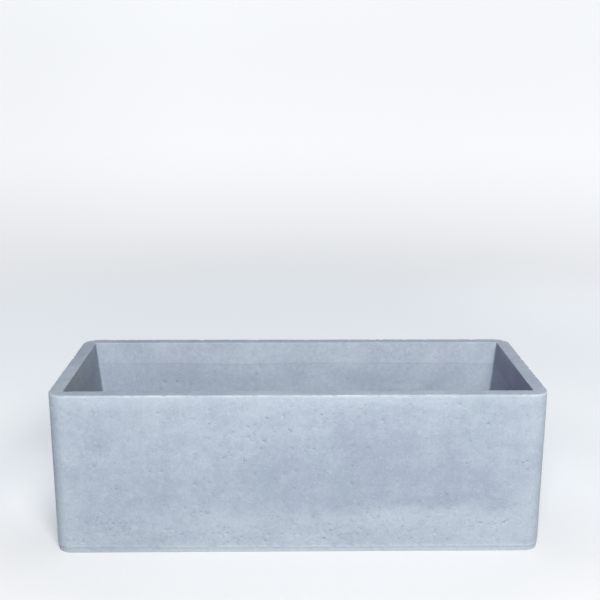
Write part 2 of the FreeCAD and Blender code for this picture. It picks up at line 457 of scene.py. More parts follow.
def wall_points():
    P = []

    def row(s, step, corner_n):
        P.append(np.stack([c := columns(step, corner_n), np.full(len(c), s)], 1))

    edge_cols = columns(6.0, 9)
    foot = np.stack([edge_cols, np.zeros(len(edge_cols))], 1)
    floor_cols = columns(12.0, 3)
    floor = np.stack([floor_cols, np.full(len(floor_cols), S_END)], 1)
    b = KEY["band"]
    for s, st in ((b - 8.5, 8), (b - 4.2, 6), (b - 1.7, 4.5), (b - 0.6, 4.5), (b, 4.5), (b + 0.7, 4.5),
                  (b + 2.0, 4.5), (b + 5.0, 6)):
        row(s, st, 10)
    a0, a1 = KEY["arris0"], KEY["arris1"]
    for s, st in ((a0 - 5.5, 6), (a0 - 2.6, 4), (a0 - 1.0, 3.4), (a0, 3.4), (a0 + 0.27 * (a1 - a0), 3.4),
                  ((a0 + a1) / 2, 3.4), (a0 + 0.73 * (a1 - a0), 3.4), (a1, 3.4), (a1 + 1.2, 3.6), (a1 + 3.0, 5)):
        row(s, st, 12)
    i0, i1 = KEY["in0"], KEY["in1"]
    for s, st in ((i0 - 2.6, 5), (i0 - 0.9, 4), (i0, 4), ((i0 + i1) / 2, 4), (i1, 4), (i1 + 1.1, 4),
                  (i1 + 3.2, 5.5)):
        row(s, st, 6)
    for s in (S_LINE - 3.5, S_LINE - 1.2, S_LINE - 0.4, S_LINE + 0.4, S_LINE + 1.2, S_LINE + 3.5):
        row(s, 7, 5)
    for s in (KEY["fil0"] - 3, KEY["fil0"], KEY["fil0"] + (S_END - KEY["fil0"]) * 0.35,
              KEY["fil0"] + (S_END - KEY["fil0"]) * 0.68):
        row(s, 12, 3)
    P = [np.concatenate(P)]
    # fields between the rows
    g = np.random.default_rng(5)

    def field(s0, s1, step, corner_step, corner_rows):
        n = max(1, int(round((s1 - s0) / (step * 0.87))))
        for j in range(n):
            s = s0 + (s1 - s0) * (j + 0.5) / n
            for i, ln in enumerate(RUNS):
                if i % 2:
                    if corner_rows is None or j % corner_rows == 0:
                        m = max(2, int(round(ln / corner_step)))
                        c = EDGE[i] + ln * np.arange(m + 1) / m
                        P.append(np.stack([c, np.full(m + 1, s)], 1))
                else:
                    m = max(1, int(round(ln / step)))
                    c = EDGE[i] + ln * (np.arange(m) + 0.5 + 0.5 * (j % 2) * 0.8) / m
                    c = c[(c > EDGE[i] + 1.5) & (c < EDGE[i + 1] - 1.5)]
                    P.append(np.stack([c + g.uniform(-1.6, 1.6, len(c)),
                                       s + g.uniform(-1.6, 1.6, len(c))], 1))

    field(b + 7, a0 - 8, 10.5, 5.5, None)
    field(a1 + 5, i0 - 4.5, 6.5, 7.5, None)
    field(i1 + 6, S_LINE - 6, 12.0, 13.0, 2)
    field(S_LINE + 6, KEY["fil0"] - 6, 15.0, 13.0, 2)
    base = np.concatenate(P)
    base = base[(base[:, 0] > 0.01) & (base[:, 0] < PERIM - 0.01)]
    pits, depth, share = pit_points()
    # base points clear of the pits
    tree = kdtree.KDTree(len(base))
    for i, p in enumerate(base):
        tree.insert((p[0], p[1], 0), i)
    tree.balance()
    gone = np.zeros(len(base), bool)
    for u, s, r, e in zip(PIT_U, PIT_S, PIT_R, PIT_E):
        for co, i, dist in tree.find_range((u, s, 0), 1.22 * r * e + 1.1):
            gone[i] = True
    base = base[~gone]
    # the seam: the same places at both ends
    ss = np.unique(np.round(np.concatenate([
        spaced(0, b - 1.7, 4.2)[1:], [b - 1.7, b - 0.6, b, b + 0.7, b + 2.0], spaced(b + 7, a0 - 5, 10),
        [a0 - 2.6, a0 - 1.0, a0, (a0 + a1) / 2, a1, a1 + 1.2], spaced(a1 + 5, i0 - 2, 6),
        [i0, (i0 + i1) / 2, i1], spaced(i1 + 5, S_LINE - 2, 10), [S_LINE - 1.2, S_LINE - 0.4, S_LINE + 0.4, S_LINE + 1.2],
        spaced(S_LINE + 6, KEY["fil0"] - 2, 13), [KEY["fil0"]]]), 4))
    return foot, floor, base, pits, depth, share, ss


def build_wall():
    foot, floor, base, pits, depth, share, seam_s = wall_points()
    foot_in, floor_in = foot[foot[:, 0] > 0], floor[floor[:, 0] > 0]
    seam0 = np.stack([np.zeros(len(seam_s)), seam_s], 1)
    seam1 = seam0 + [PERIM, 0]
    corners = np.array([[0, 0], [PERIM, 0], [0, S_END], [PERIM, S_END]])
    pts = np.concatenate([corners, foot_in, floor_in, seam0, seam1, base, pits])
    nb = len(pts) - len(pits)
    d_pit = np.concatenate([np.zeros(nb), depth])
    w_pit_dust_shade = np.concatenate([np.zeros(nb), share])
    out = delaunay_2d_cdt([tuple(p) for p in pts.tolist()], [], [], 0, 1e-5, True)
    faces = np.array(out[2])
    src = np.array([o[0] for o in out[3]])
    verts = pts[src]
    d_pit, w_pit_dust_shade = d_pit[src], w_pit_dust_shade[src]
    # the two ends of the unrolled sheet are one line on the object
    at1 = np.where(verts[:, 0] > PERIM - 1e-3)[0]
    at0 = np.where(verts[:, 0] < 1e-3)[0]
    look = {round(verts[i, 1], 3): i for i in at0}
    remap = np.arange(len(verts))
    for i in at1:
        remap[i] = look[round(verts[i, 1], 3)]
    faces = remap[faces]
    u, s = verts[:, 0], verts[:, 1]
    ix, iy, r, z, no, nz = section(s)
    x, y, hx, hy = plan(u, ix, iy, r)
    d = relief(u, s) + d_pit
    co = np.stack([x - hx * no * d, y - hy * no * d, z - nz * d], 1)
    foot_idx = np.where(s < 1e-6)[0]
    foot_idx = foot_idx[verts[foot_idx, 0] < PERIM - 1e-3]
    foot_idx = foot_idx[np.argsort(verts[foot_idx, 0])]
    floor_idx = np.where(s > S_END - 1e-6)[0]
    floor_idx = floor_idx[verts[floor_idx, 0] < PERIM - 1e-3]
    floor_idx = floor_idx[np.argsort(verts[floor_idx, 0])]
    used = np.unique(faces)
    back = -np.ones(len(verts), int)
    back[used] = np.arange(len(used))
    return (co[used], back[faces], back[foot_idx], back[floor_idx], w_pit_dust_shade[used], u[used], s[used])


def sheet_faces(loop, circles, inner):
    """Triangles over a flat region: an outer loop, round holes, inner points.
    All are (x, y) lists; the numbering is loop, then each circle, then inner."""
    pts = np.concatenate([loop] + circles + [inner])
    edges, k = [], 0
    for ring in [loop] + circles:
        n = len(ring)
        edges += [(k + i, k + (i + 1) % n) for i in range(n)]
        k += n
    out = delaunay_2d_cdt([tuple(p) for p in pts.tolist()], edges, [], 0, 1e-6, True)
    v = np.array([(a.x, a.y) for a in out[0]])
    ids = [min(o) if o else -1 for o in out[3]]
    faces = []
    for f in out[2]:
        c = v[list(f)].mean(0)
        if not inside(c, loop):
            continue
        if any(inside(c, q) for q in circles):
            continue
        faces.append([ids[i] for i in f])
    return faces


def inside(c, loop):
    x, y = loop[:, 0], loop[:, 1]
    x2, y2 = np.roll(x, -1), np.roll(y, -1)
    cross = (y > c[1]) != (y2 > c[1])
    with np.errstate(divide="ignore", invalid="ignore"):
        hit = c[0] < (x2 - x) * (c[1] - y) / (y2 - y) + x
    return (cross & hit).sum() % 2 == 1


def ring_pts(cx, cy, r, n):
    a = np.arange(n) / n * 2 * math.pi
    return np.stack([cx + r * np.cos(a), cy + r * np.sin(a)], 1)


def grid_pts(loop_hx, loop_hy, step, clear, circles, seed):
    g = np.random.default_rng(seed)
    nx, ny = int(2 * loop_hx / step), int(2 * loop_hy / step)
    X, Y = np.meshgrid(np.linspace(-loop_hx + step * 0.7, loop_hx - step * 0.7, nx),
                       np.linspace(-loop_hy + step * 0.7, loop_hy - step * 0.7, ny))
    p = np.stack([X.ravel(), Y.ravel()], 1) + g.uniform(-step * 0.15, step * 0.15, (nx * ny, 2))
    for cx, cy, r in circles:
        p = p[np.hypot(p[:, 0] - cx, p[:, 1] - cy) > r + clear]
    return p


def build_shell():
    co, faces, foot, floor, w_pit_dust_shade, uu, ss = build_wall()
    V = [co]
    F = [faces]
    count = len(co)
    attr_u, attr_s = [uu], [ss]
    pit_dust_shade = [w_pit_dust_shade]

    def add(points, u=-1.0, s=-1.0):
        nonlocal count
        points = np.asarray(points, float).reshape(-1, 3)
        ids = np.arange(count, count + len(points))
        V.append(points)
        attr_u.append(np.full(len(points), u))
        attr_s.append(np.full(len(points), s))
        pit_dust_shade.append(np.zeros(len(points)))
        count += len(points)
        return ids

    def strip(a, b, flip=False):
        n = len(a)
        q = []
        for i in range(n):
            j = (i + 1) % n
            t = ((a[i], a[j], b[j]), (a[i], b[j], b[i]))
            q += [x[::-1] for x in t] if flip else list(t)
        F.append(np.array(q))

    # floor, with the drains' seats
    fl_loop = co[floor][:, :2]
    cuts = [(*node_centre(b), (b[1].x - b[0].x) * 500.0) for b in SLEEVES.values()]
    n_hole = 64
    holes = [ring_pts(cx, cy, r, n_hole) for cx, cy, r in cuts]
    hx, hy = np.abs(fl_loop[:, 0]).max(), np.abs(fl_loop[:, 1]).max()
    inner = grid_pts(hx, hy, 12.0, 5.0, cuts, 3)
    hole_ids = [add(np.column_stack([h, np.full(len(h), FLOOR_Z)])) for h in holes]
    g = np.random.default_rng(8)
    low = 0.25 * (1 + np.sin(inner[:, 0] / 61.0) * np.cos(inner[:, 1] / 47.0)) * 0.5
    low += g.uniform(0, 0.12, len(inner))
    in_ids = add(np.column_stack([inner, FLOOR_Z - low]))
    ids = np.concatenate([floor] + hole_ids + [in_ids])
    tri = np.array(sheet_faces(fl_loop, holes, inner))
    F.append(ids[tri])
    SLEEVE_R, FLANGE_T = 16.0, 3.0
    seat_rings = []
    for (cx, cy, r), h in zip(cuts, hole_ids):
        wall = ring_pts(cx, cy, r, n_hole)
        b0 = add(np.column_stack([wall, np.full(n_hole, FLOOR_Z - FLANGE_T)]))
        bore = ring_pts(cx, cy, SLEEVE_R, n_hole)
        b1 = add(np.column_stack([bore, np.full(n_hole, FLOOR_Z - FLANGE_T)]))
        b2 = add(np.column_stack([bore, np.full(n_hole, Z0)]))
        strip(h, b0)
        strip(b0, b1)
        strip(b1, b2)
        seat_rings.append((bore, b2))

    # underside, with the pads' pockets
    ft_loop = co[foot][:, :2]
    pads = [(*node_centre(b), (b[1].x - b[0].x) * 500.0) for b in PADS.values()]
    pad_rings = [ring_pts(cx, cy, r, 48) for cx, cy, r in pads]
    pad_ids = [add(np.column_stack([q, np.full(len(q), Z0)])) for q in pad_rings]
    hx, hy = np.abs(ft_loop[:, 0]).max(), np.abs(ft_loop[:, 1]).max()
    clear = pads + [(cx, cy, SLEEVE_R) for cx, cy, r in cuts]
    inner = grid_pts(hx - 3, hy - 3, 17.0, 6.0, clear, 4)
    keep = [inside(p * 1.02, ft_loop) for p in inner]
    inner = inner[np.array(keep)]
    low = g.uniform(0, 0.25, len(inner))
    in_ids = add(np.column_stack([inner, Z0 + low]))
    rings = pad_rings + [q for q, _ in seat_rings]
    ids = np.concatenate([foot] + pad_ids + [i for _, i in seat_rings] + [in_ids])
    tri = np.array(sheet_faces(ft_loop, rings, inner))
    F.append(ids[tri[:, ::-1]])
    for (cx, cy, r), b, q in zip(pads, PADS.values(), pad_rings):
        top = b[1].z * 1000.0
        up = add(np.column_stack([q, np.full(len(q), top)]))
        mid = add(np.column_stack([ring_pts(cx, cy, r * 0.5, 48), np.full(48, top)]))
        c = add([[cx, cy, top]])[0]
        k = pad_ids[[id(w) for w in pad_rings].index(id(q))]
        strip(k, up, True)
        strip(up, mid, True)
        F.append(np.array([(mid[(i + 1) % 48], mid[i], c) for i in range(48)]))
    V = np.concatenate(V)
    F = np.concatenate([np.asarray(f, int).reshape(-1, 3) for f in F])
    return V, F, np.concatenate(pit_dust_shade), np.concatenate(attr_u), np.concatenate(attr_s)


def tone_and_light_map(u, s, co):
    """Slow light and dark places: clouds of the finish, with painted light and shade on the front's end corners, the
    rim, the top and foot of the outer walls and the inner walls; 0 is the mean tone.
    """
    t = np.zeros(len(u))
    wall = s >= 0
    z = co[:, 2]
    out = wall & (s <= KEY["arris0"] + 1)
    inn = wall & (s >= KEY["in1"])

    def add(x, z0, rx, rz, k):
        t[out] += k * bump(u[out], s[out], u_front(x), s_of_outer(z0), rx, rz)

    # clouds of the finish; the light ones at x = ±467 and beyond lift the front's rounded end corners: painted light on
    # the turn of the corners
    add(-120, 160, 150, 70, -0.55)
    add(-56, 166, 17, 22, -0.75)
    add(-68, 134, 8, 26, -0.5)
    add(-38, 158, 9, 9, 0.35)
    add(40, 150, 120, 60, -0.5)
    add(230, 170, 170, 55, -0.75)
    add(120, 215, 90, 35, -0.35)
    add(390, 150, 70, 36, -0.45)
    add(-330, 150, 80, 60, -0.15)
    add(130, 170, 170, 60, -0.45)
    add(120, 262, 110, 34, -0.35)
    add(-475, 190, 34, 170, 0.55)
    add(-180, 55, 150, 34, 0.4)
    add(-10, 28, 90, 16, 0.5)
    add(-200, 200, 60, 50, 0.3)
    add(440, 45, 90, 40, 0.5)
    add(250, 40, 150, 30, 0.10)
    add(-90, 50, 130, 30, 0.12)
    add(0, 300, 330, 38, 0.45)
    add(-420, 320, 90, 26, 0.5)
    add(480, 240, 40, 160, 0.35)
    add(40, 300, 130, 28, -0.5)
    add(230, 300, 100, 30, -0.3)
    add(150, 244, 170, 36, -0.6)
    add(130, 112, 190, 22, -0.75)
    add(300, 118, 130, 16, -0.45)
    add(-492, 50, 26, 66, 1.2)
    add(-490, 175, 22, 60, 0.4)
    add(-170, 20, 60, 14, 0.6)
    add(472, 140, 44, 60, 0.5)
    add(415, 22, 60, 14, 0.3)
    add(-380, 302, 34, 22, -0.3)
    add(-382, 241, 40, 28, -0.38)
    add(230, 241, 44, 28, -0.38)
    add(414, 175, 34, 26, 0.42)
    add(230, 110, 44, 15, -0.32)
    add(414, 108, 38, 16, -0.32)
    add(150, 44, 110, 13, -0.20)
    add(230, 22, 60, 9, -0.28)
    add(467, 44, 22, 18, 0.42)
    add(-493, 34, 14, 26, 0.35)
    add(-493, 300, 14, 30, 0.30)
    add(-382, 32, 36, 20, 0.42)
    add(-177, 302, 50, 18, -0.35)
    add(205, 36, 60, 16, -0.42)
    add(30, 302, 40, 14, -0.25)
    add(-265, 130, 75, 95, -0.75)
    add(-42, 290, 60, 38, -0.55)
    add(-15, 225, 45, 40, -0.32)
    add(165, 258, 60, 30, 0.50)
    add(-100, 160, 36, 36, 0.30)
    add(-405, 42, 40, 20, 0.42)
    add(232, 58, 42, 16, -0.48)
    add(378, 94, 44, 22, -0.48)
    add(300, 240, 40, 52, -0.35)
    add(30, 70, 28, 30, -0.35)
    add(-275, 222, 48, 32, -0.28)
    add(-42, 329, 62, 14, -0.50)
    add(108, 250, 26, 24, 0.32)
    add(410, 90, 26, 22, -0.25)
    add(300, 232, 30, 40, -0.20)
    add(-42, 334, 60, 10, -0.25)
    add(400, 100, 40, 20, -0.18)
    add(-466, 241, 34, 30, -0.30)
    # the low part was filled later: a paler skin with a ragged upper edge
    xf = u - FRONT[0] - SX / 2
    rag = 5.5 * wave(u, s * 0, 44, 24) + 3.0 * wave(u, s * 0, 13, 25)
    m = smooth(xf, 105, 190) * smooth(xf, 480, 385)
    t[out] += (0.56 * m * smooth(z - rag, 101, 95) * (0.35 + 0.65 * smooth(z, 20, 78)))[out]
    m = smooth(xf, -300, -245) * smooth(xf, 150, 60)
    t[out] += (0.20 * m * smooth(z - 0.7 * rag, 86, 80))[out]
    # the other outer faces get their own clouds, and painted light along their top and foot
    other = out & ((u < FRONT[0] - 40) | (u > FRONT[1] + 40))
    t[other] += 0.55 * wave(u[other], s[other], 120, 21) + 0.3 * smooth(z[other], 290, 335) \
        + 0.3 * smooth(z[other], 70, 25)
    # painted light: every outer face is lighter in a ragged strip along the top and in a narrow one along the foot
    t[out] += 0.75 * smooth(z[out] + 7 * wave(u[out], s[out], 45, 23), 312, 336) \
        + 0.3 * smooth(z[out], 30, 14)
    rim = wall & (s > KEY["arris1"]) & (s < KEY["in0"])
    # the rim: painted light, lighter towards the right where the lamp is and a little darker overall against the light
    # from behind; also lighter at its left end, along the back and along the middle of the front, darker at the front
    # of the right end and the back of the left end, with a light and a dark patch near the left of the front
    t[rim] += 0.5 * co[rim, 0] / HX - 0.20
    t[rim] += 0.70 * smooth(co[rim, 0], -HX + 60, -HX + 25) + 0.35 * smooth(co[rim, 1], HY - 50, HY - 25)
    t[rim] += 0.25 * (smooth(co[rim, 1], -HY + 40, -HY + 30) * smooth(np.abs(co[rim, 0]), 420, 300))
    t[rim] -= 0.35 * np.exp(-((co[rim, 1] + 100) / 60) ** 2) * (co[rim, 0] > HX - 40)
    t[rim] -= 0.40 * smooth(co[rim, 1], 10, 110) * smooth(co[rim, 0], -HX + 60, -HX + 25)
    t[rim] += (0.45 * np.exp(-((co[rim, 0] + 425) / 35) ** 2) - 0.38 * np.exp(-((co[rim, 0] + 285) / 60) ** 2)) \
        * smooth(co[rim, 1], -HY + 40, -HY + 30)
    t[inn] += 0.35 * wave(u[inn], s[inn], 140, 22)
    # painted shade: the inner end walls are darker all over
    ends = inn & (np.abs(co[:, 0]) > np.abs(HX - RIM_ENDS - TAPER * (Z1 - z)) - 0.9)
    t[ends] -= 0.9
    back = inn & (co[:, 1] > HY - RIM_SIDES - TAPER * (Z1 - z) - 1.5)
    # painted shade and light on the back wall inside: darker at its left end and lower down, lighter low at its right
    # end and in a patch high up right of the middle
    t[back] += (-0.5 * smooth(co[:, 0], -330, -430) + 0.55 * smooth(co[:, 0], 380, 450) * smooth(z, 300, 270))[back]
    t[back] -= (0.42 * smooth(z, 288, 256) * smooth(np.abs(co[:, 0] + 20), 440, 330))[back]
    t[back] += (0.45 * smooth(np.abs(co[:, 0] - 106), 75, 15) * smooth(z, 262, 296))[back]
    return t


def skirt(u, s):
    """1 below the line round the inside."""
    return smooth(s + 0.9 * wave(u, s * 0, 90, 7) + 0.4 * wave(u, s * 0, 24, 8), S_LINE - 0.6, S_LINE + 0.6)


def arris_light_shade_map(u, s):
    """Painted highlight along the arrises, broken where they are chipped, and painted shade in the chips; below the low
    arris the band is painted lighter and starts with a painted dark line."""
    chip = np.clip(chip_depth(u, s) / 0.7, 0, 1)
    e = np.zeros(len(u))
    # how strong the painted highlight is along each arris
    arris_glint = np.clip(0.72 + 0.45 * wave(u, s * 0, 60, 31) + 0.3 * wave(u, s * 0, 17, 32), 0.1, 1.2)
    mid = (KEY["arris0"] + KEY["arris1"]) / 2
    arc = smooth(u, EDGE[3] - 6, EDGE[3] + 8) * smooth(u, EDGE[4] + 10, EDGE[4] - 4)
    # painted highlight on the outer and inner top arrises, weaker round the front-left corner
    e += 0.76 * (1 - 0.5 * arc) * arris_glint * np.exp(-((s - mid + 1.3) / 3.2) ** 2)
    e += 0.45 * arris_glint * np.exp(-((s - (KEY["in0"] + KEY["in1"]) / 2) / 1.5) ** 2)
    # painted highlight on the low arris, strong along the right-hand part of the front and faint at its left
    x = u - FRONT[0] - SX / 2
    front = (u > FRONT[0] - 60) & (u < FRONT[1] + 60)
    low = np.where(front, 0.15 + 0.85 * smooth(x, -380, -160), np.clip(0.4 + 0.6 * wave(u, s * 0, 150, 33), 0, 1))
    e += low * (0.55 + 0.45 * arris_glint) * np.exp(-((s - KEY["band"]) / 1.4) ** 2)
    # painted light on the band under the low arris, which faces a little down, with a painted dark line just below the
    # arris and more painted light near the foot
    under = smooth(s, KEY["band"] + 0.3, KEY["band"] - 1.2)
    e += under * (0.28 + 0.26 * low)
    e -= 0.24 * low * np.exp(-((s - KEY["band"] + 4.0) / 1.7) ** 2)
    e += 0.24 * low * smooth(s, KEY["band"] - 5.5, KEY["band"] - 8.0) * under
    # the painted highlight fades in the chips, and the chips are painted darker
    return e * (1 - 0.6 * chip) - 0.12 * chip * (s < KEY["in0"])


def new_mesh(name, verts, faces, smooth_angle=None):
    me = bpy.data.meshes.new(name)
    me.from_pydata((np.asarray(verts) / 1000.0).tolist(), [], [tuple(int(i) for i in f) for f in faces])
    me.validate()
    me.update()
    for p in me.polygons:
        p.use_smooth = True
    if smooth_angle:
        me.set_sharp_from_angle(angle=math.radians(smooth_angle))
    ob = bpy.data.objects.new(name, me)
    bpy.context.scene.collection.objects.link(ob)
    return ob


def make_shell():
    V, F, pit_dust_shade, u, s = build_shell()
    tone_and_light = tone_and_light_map(u, s, V)
    wall = s >= 0
    # below the line round the inside: tone for the mould's duller skin with painted shade and light; the right end is
    # turned lighter, the left end only a little darker
    sk = np.where(wall & (s > KEY["in1"]), skirt(u, np.maximum(s, 0)), 0.0)
    sk[~wall] = 1.0
    right_in = wall & (s > KEY["in1"]) & (u > EDGE[6] - 26) & (u < EDGE[7] + 26)
    left_in = wall & (s > KEY["in1"]) & (u > EDGE[2] - 26) & (u < EDGE[3] + 26)
    sk[right_in] *= -0.9
    sk[left_in] *= 0.3
    arris_light_shade = np.where(wall, arris_light_shade_map(u, np.maximum(s, 0)), 0.0)
    porous = np.where(wall, open_skin(u, np.maximum(s, 0)), 0.15)
    # painted shade on the inner ends, most of all towards the front, with a painted reflected tint: greyer at the left
    # and bluer at the right
    depth = Z1 - V[:, 2]
    end_shade_and_tint = np.zeros(len(V))
    fore = smooth(V[:, 1], 150, -110)
    end_shade_and_tint[left_in] = (0.39 + 0.61 * fore)[left_in]
    end_shade_and_tint[right_in] = -(0.457 + 0.543 * fore)[right_in]
    ends = np.abs(V[:, 0]) > HX - RIM_ENDS - TAPER * depth - 1.5
    end_shade_and_tint[~ends] = 0.0
    outer = wall & (s < KEY["arris0"])
    # the pits' dust and painted shade weaken higher up the outer walls
    pit_dust_shade = pit_dust_shade * np.where(outer, 1.0 - 0.25 * smooth(V[:, 2], 90, 160), 1.0)
    # keep within the CAD box
    V[:, 0] = np.clip(V[:, 0], -HX, HX)
    V[:, 1] = np.clip(V[:, 1], -HY, HY)
    V[:, 2] = np.clip(V[:, 2], Z0, Z1)
    ob = new_mesh("planter_shell_cast", V, F, 42)
    n = len(ob.data.vertices)
    assert n == len(V), (n, len(V))
    for name, data in (("pit_dust_shade", pit_dust_shade), ("tone_and_light", tone_and_light), ("below_line", sk), ("arris_light_shade", arris_light_shade),
                       ("open_skin", porous), ("end_shade_and_tint", end_shade_and_tint)):
        a = ob.data.attributes.new(name, "FLOAT", "POINT")
        a.data.foreach_set("value", data.astype(np.float32))
    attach(ob, "trough")
    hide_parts("planter_shell")
    print("shell: %d vertices, %d triangles, %d pits" % (len(V), len(F), len(PIT_U)))
    return ob


# -------------------------------------------------------------------- materials
class Nodes:
    """Short calls for building a node tree."""

    def __init__(self, name):
        self.mat = bpy.data.materials.new(name)
        self.mat.use_nodes = True
        self.t = self.mat.node_tree
        self.t.nodes.clear()
        self.out = self.t.nodes.new("ShaderNodeOutputMaterial")
        self.bsdf = self.t.nodes.new("ShaderNodeBsdfPrincipled")
        self.t.links.new(self.bsdf.outputs[0], self.out.inputs[0])
        self.coord = self.t.nodes.new("ShaderNodeTexCoord").outputs["Object"]

    def put(self, sock, value):
        if isinstance(value, bpy.types.NodeSocket):
            self.t.links.new(value, sock)
        else:
            sock.default_value = value

    def noise(self, scale, detail=4.0, rough=0.55, vec=None, distort=0.0):
        n = self.t.nodes.new("ShaderNodeTexNoise")
        self.t.links.new(vec or self.coord, n.inputs["Vector"])
        n.inputs["Scale"].default_value = scale
        n.inputs["Detail"].default_value = detail
        n.inputs["Roughness"].default_value = rough
        n.inputs["Distortion"].default_value = distort
        return n.outputs["Fac"]

    def voronoi(self, scale, vec=None, out="Distance", rand=1.0):
        n = self.t.nodes.new("ShaderNodeTexVoronoi")
        self.t.links.new(vec or self.coord, n.inputs["Vector"])
        n.inputs["Scale"].default_value = scale
        n.inputs["Randomness"].default_value = rand
        return n.outputs[out]

    def math(self, op, a, b=0.0, c=None):
        n = self.t.nodes.new("ShaderNodeMath")
        n.operation = op
        self.put(n.inputs[0], a)
        self.put(n.inputs[1], b)
        if c is not None:
            self.put(n.inputs[2], c)
        return n.outputs[0]

    def ramp(self, fac, stops):
        n = self.t.nodes.new("ShaderNodeMapRange")
        n.interpolation_type = "SMOOTHSTEP"
        n.clamp = True
        (a, va), (b, vb) = stops
        for k, v in (("From Min", a), ("From Max", b), ("To Min", va), ("To Max", vb)):
            n.inputs[k].default_value = v
        self.t.links.new(fac, n.inputs["Value"])
        return n.outputs["Result"]

    def mix(self, fac, a, b):
        n = self.t.nodes.new("ShaderNodeMix")
        n.data_type = "RGBA"
        self.put(n.inputs["Factor"], fac)
        self.put(n.inputs[6], a)
        self.put(n.inputs[7], b)
        return n.outputs[2]

    def mapping(self, scale=(1, 1, 1), loc=(0, 0, 0)):
        n = self.t.nodes.new("ShaderNodeMapping")
        self.t.links.new(self.coord, n.inputs["Vector"])
        n.inputs["Scale"].default_value = scale
        n.inputs["Location"].default_value = loc
        return n.outputs[0]

    def attr(self, name):
        n = self.t.nodes.new("ShaderNodeAttribute")
        n.attribute_name = name
        return n.outputs["Fac"]

    def bump(self, height, strength, dist, normal=None):
        n = self.t.nodes.new("ShaderNodeBump")
        n.inputs["Strength"].default_value = strength
        n.inputs["Distance"].default_value = dist
        self.t.links.new(height, n.inputs["Height"])
        if normal is not None:
            self.t.links.new(normal, n.inputs["Normal"])
        return n.outputs["Normal"]


